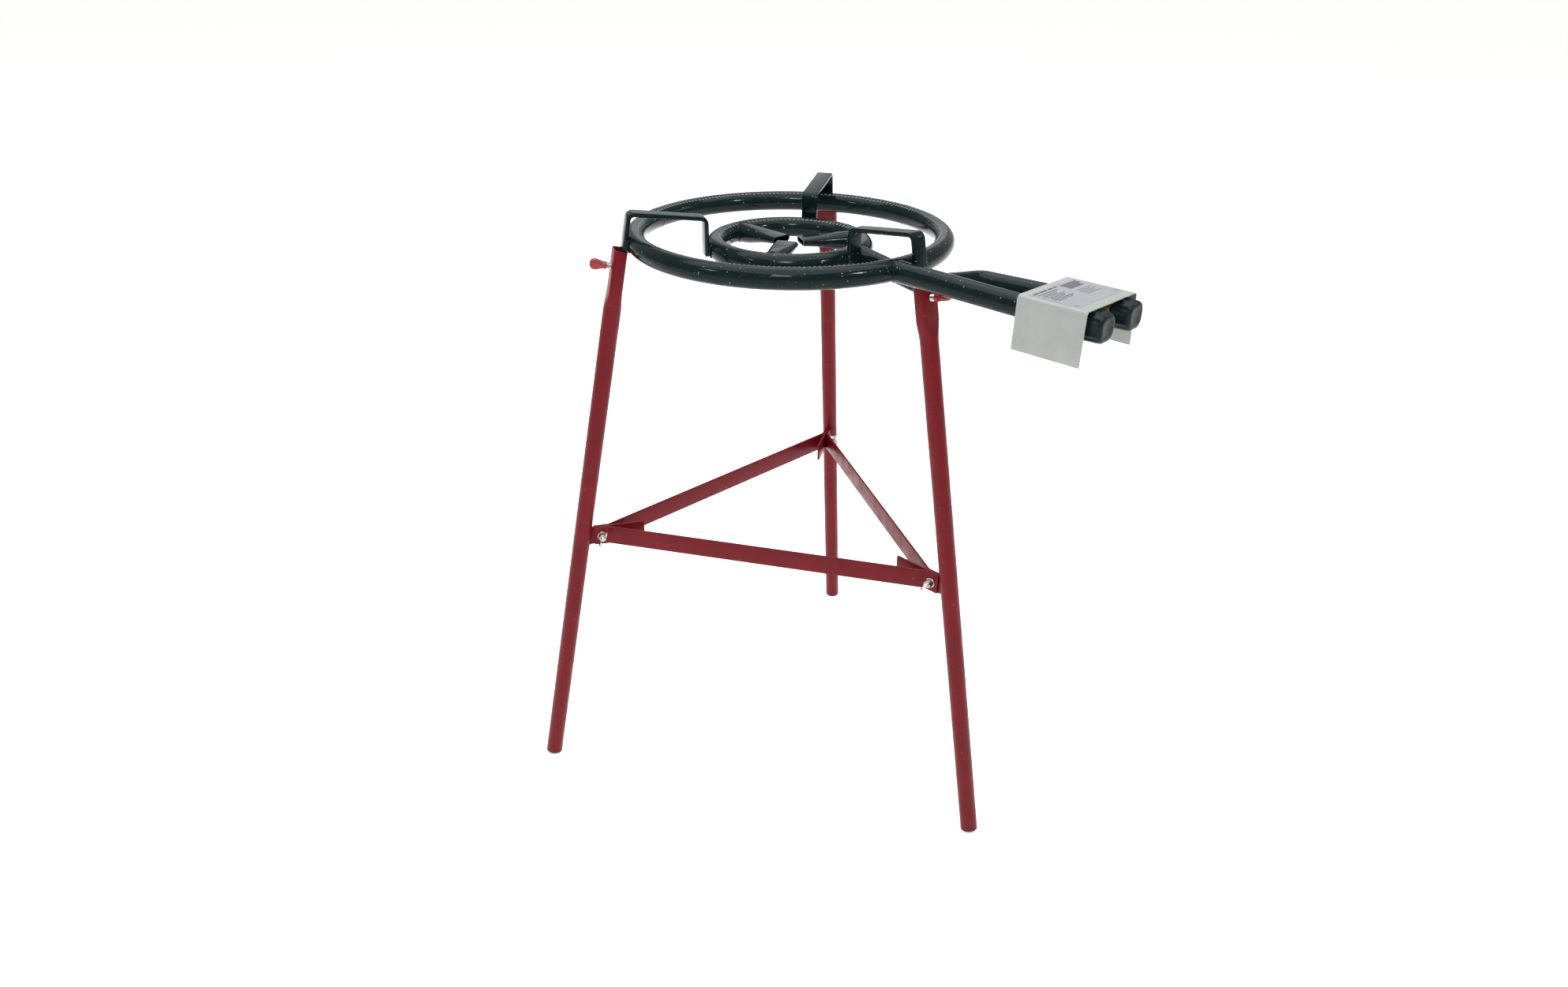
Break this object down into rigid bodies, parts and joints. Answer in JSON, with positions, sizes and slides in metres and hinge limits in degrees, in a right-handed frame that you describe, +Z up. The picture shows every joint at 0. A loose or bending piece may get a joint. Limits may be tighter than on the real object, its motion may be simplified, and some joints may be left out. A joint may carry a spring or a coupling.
{
  "type": "gas burner",
  "caption": "Two-ring gas burner with pan supports, taps and heat shield on a braced, splayed tripod stand with thumb-screw leg sockets.",
  "frame": {"origin": "on the floor, below the middle of the whole object, 125 mm in front of the rings' common axis", "axes": "+Z up, taps and knobs face -Y, +X to the right of a cook who faces +Y"},
  "size_m": [0.6194, 0.65, 0.7685],
  "materials": {
    "speckled_enamel": "black vitreous enamel with fine white speckles",
    "red_paint": "dark red gloss paint on steel",
    "zinc": "bright zinc plate",
    "brass": "turned brass",
    "white_paint": "white paint on sheet steel",
    "black_plastic": "moulded black thermoset",
    "red_plastic": "moulded red plastic",
    "foot_plastic": "moulded black polyethylene",
    "spring_steel": "bright spring wire",
    "label": "printed aluminium plate"
  },
  "bodies": {
    "stand": {"outer_ring": "speckled_enamel", "inner_ring": "speckled_enamel", "outer_feed_pipe": "speckled_enamel", "inner_feed_pipe": "speckled_enamel", "flame_stub_front": "speckled_enamel", "pan_support_front": "speckled_enamel", "leg_front": "red_paint", "foot_front": "foot_plastic", "leg_tab_front": "red_paint", "brace_front_right": "red_paint", "flame_stub_right": "speckled_enamel", "pan_support_right": "speckled_enamel", "leg_right": "red_paint", "foot_right": "foot_plastic", "leg_tab_right": "red_paint", "brace_right_left": "red_paint", "flame_stub_left": "speckled_enamel", "pan_support_left": "speckled_enamel", "leg_left": "red_paint", "foot_left": "foot_plastic", "leg_tab_left": "red_paint", "brace_left_front": "red_paint", "brace_bolts": "zinc", "clamp_nuts": "zinc", "outer_tap_body": "brass", "inner_tap_body": "brass", "injectors": "brass", "gland_nuts": "brass", "gas_manifold": "brass", "hose_nozzle": "brass", "manifold_bracket": "speckled_enamel", "shield_bracket": "speckled_enamel", "heat_shield": "white_paint", "shield_label": "label"},
    "washer_front": {"washer_front": "zinc"},
    "wing_nut_front": {"wing_nut_front": "zinc"},
    "clamp_screw_front": {"clamp_screw_front": "zinc"},
    "clamp_head_front": {"clamp_head_front": "red_plastic"},
    "washer_right": {"washer_right": "zinc"},
    "wing_nut_right": {"wing_nut_right": "zinc"},
    "clamp_screw_right": {"clamp_screw_right": "zinc"},
    "clamp_head_right": {"clamp_head_right": "red_plastic"},
    "washer_left": {"washer_left": "zinc"},
    "wing_nut_left": {"wing_nut_left": "zinc"},
    "clamp_screw_left": {"clamp_screw_left": "zinc"},
    "clamp_head_left": {"clamp_head_left": "red_plastic"},
    "outer_tap_plug": {"outer_tap_plug": "brass", "outer_tap_spring": "spring_steel"},
    "outer_tap_knob": {"outer_tap_spindle": "zinc", "outer_tap_knob": "black_plastic"},
    "inner_tap_plug": {"inner_tap_plug": "brass", "inner_tap_spring": "spring_steel"},
    "inner_tap_knob": {"inner_tap_spindle": "zinc", "inner_tap_knob": "black_plastic"}
  },
  "joints": [
    {"name": "nut_travel_front", "type": "slide", "parent": "stand", "child": "washer_front", "axis": [-1, 0, 0], "range_m": [0, 0.003]},
    {"name": "nut_turn_front", "type": "hinge", "parent": "washer_front", "child": "wing_nut_front", "pos_m": [0, -0.129, 0.3466], "axis": [-1, 0, 0], "range_deg": [0, 1080.5]},
    {"name": "clamp_travel_front", "type": "slide", "parent": "stand", "child": "clamp_screw_front", "axis": [0, -0.9823, 0.1874], "range_m": [0, 0.005]},
    {"name": "clamp_turn_front", "type": "hinge", "parent": "clamp_screw_front", "child": "clamp_head_front", "pos_m": [0, -0.08725, 0.699], "axis": [0, -0.9823, 0.1874], "range_deg": [0, 1440.5]},
    {"name": "nut_travel_right", "type": "slide", "parent": "stand", "child": "washer_right", "axis": [0.5, -0.866, 0], "range_m": [0, 0.003]},
    {"name": "nut_turn_right", "type": "hinge", "parent": "washer_right", "child": "wing_nut_right", "pos_m": [0.21997, 0.252, 0.3466], "axis": [0.5, -0.866, 0], "range_deg": [0, 1080.5]},
    {"name": "clamp_travel_right", "type": "slide", "parent": "stand", "child": "clamp_screw_right", "axis": [0.8507, 0.4911, 0.1874], "range_m": [0, 0.005]},
    {"name": "clamp_turn_right", "type": "hinge", "parent": "clamp_screw_right", "child": "clamp_head_right", "pos_m": [0.18299, 0.23065, 0.704], "axis": [0.8507, 0.4911, 0.1874], "range_deg": [0, 1440.5]},
    {"name": "nut_travel_left", "type": "slide", "parent": "stand", "child": "washer_left", "axis": [-0.5, -0.866, 0], "range_m": [0, 0.003]},
    {"name": "nut_turn_left", "type": "hinge", "parent": "washer_left", "child": "wing_nut_left", "pos_m": [-0.21997, 0.252, 0.3466], "axis": [-0.5, -0.866, 0], "range_deg": [0, 1080.5]},
    {"name": "clamp_travel_left", "type": "slide", "parent": "stand", "child": "clamp_screw_left", "axis": [-0.8507, 0.4911, 0.1874], "range_m": [0, 0.005]},
    {"name": "clamp_turn_left", "type": "hinge", "parent": "clamp_screw_left", "child": "clamp_head_left", "pos_m": [-0.1829, 0.2306, 0.7045], "axis": [-0.8507, 0.4911, 0.1874], "range_deg": [0, 1440.5]},
    {"name": "outer_tap_turn", "type": "hinge", "parent": "stand", "child": "outer_tap_plug", "pos_m": [-0.027, -0.286, 0.727], "axis": [0, -1, 0], "range_deg": [0, 180]},
    {"name": "outer_tap_push", "type": "slide", "parent": "outer_tap_plug", "child": "outer_tap_knob", "axis": [0, 1, 0], "range_m": [0, 0.003], "stiffness_N_per_m": 1500, "springref_m": -0.001, "deforming": ["outer_tap_spring"]},
    {"name": "inner_tap_turn", "type": "hinge", "parent": "stand", "child": "inner_tap_plug", "pos_m": [0.027, -0.286, 0.727], "axis": [0, -1, 0], "range_deg": [0, 180]},
    {"name": "inner_tap_push", "type": "slide", "parent": "inner_tap_plug", "child": "inner_tap_knob", "axis": [0, 1, 0], "range_m": [0, 0.003], "stiffness_N_per_m": 1500, "springref_m": -0.001, "deforming": ["inner_tap_spring"]}
  ],
  "couplings": [
    {"joint": "nut_turn_front", "follows": "nut_travel_front", "rad_per_m": 6283.2},
    {"joint": "clamp_turn_front", "follows": "clamp_travel_front", "rad_per_m": 5026.5},
    {"joint": "nut_turn_right", "follows": "nut_travel_right", "rad_per_m": 6283.2},
    {"joint": "clamp_turn_right", "follows": "clamp_travel_right", "rad_per_m": 5026.5},
    {"joint": "nut_turn_left", "follows": "nut_travel_left", "rad_per_m": 6283.2},
    {"joint": "clamp_turn_left", "follows": "clamp_travel_left", "rad_per_m": 5026.5}
  ]
}
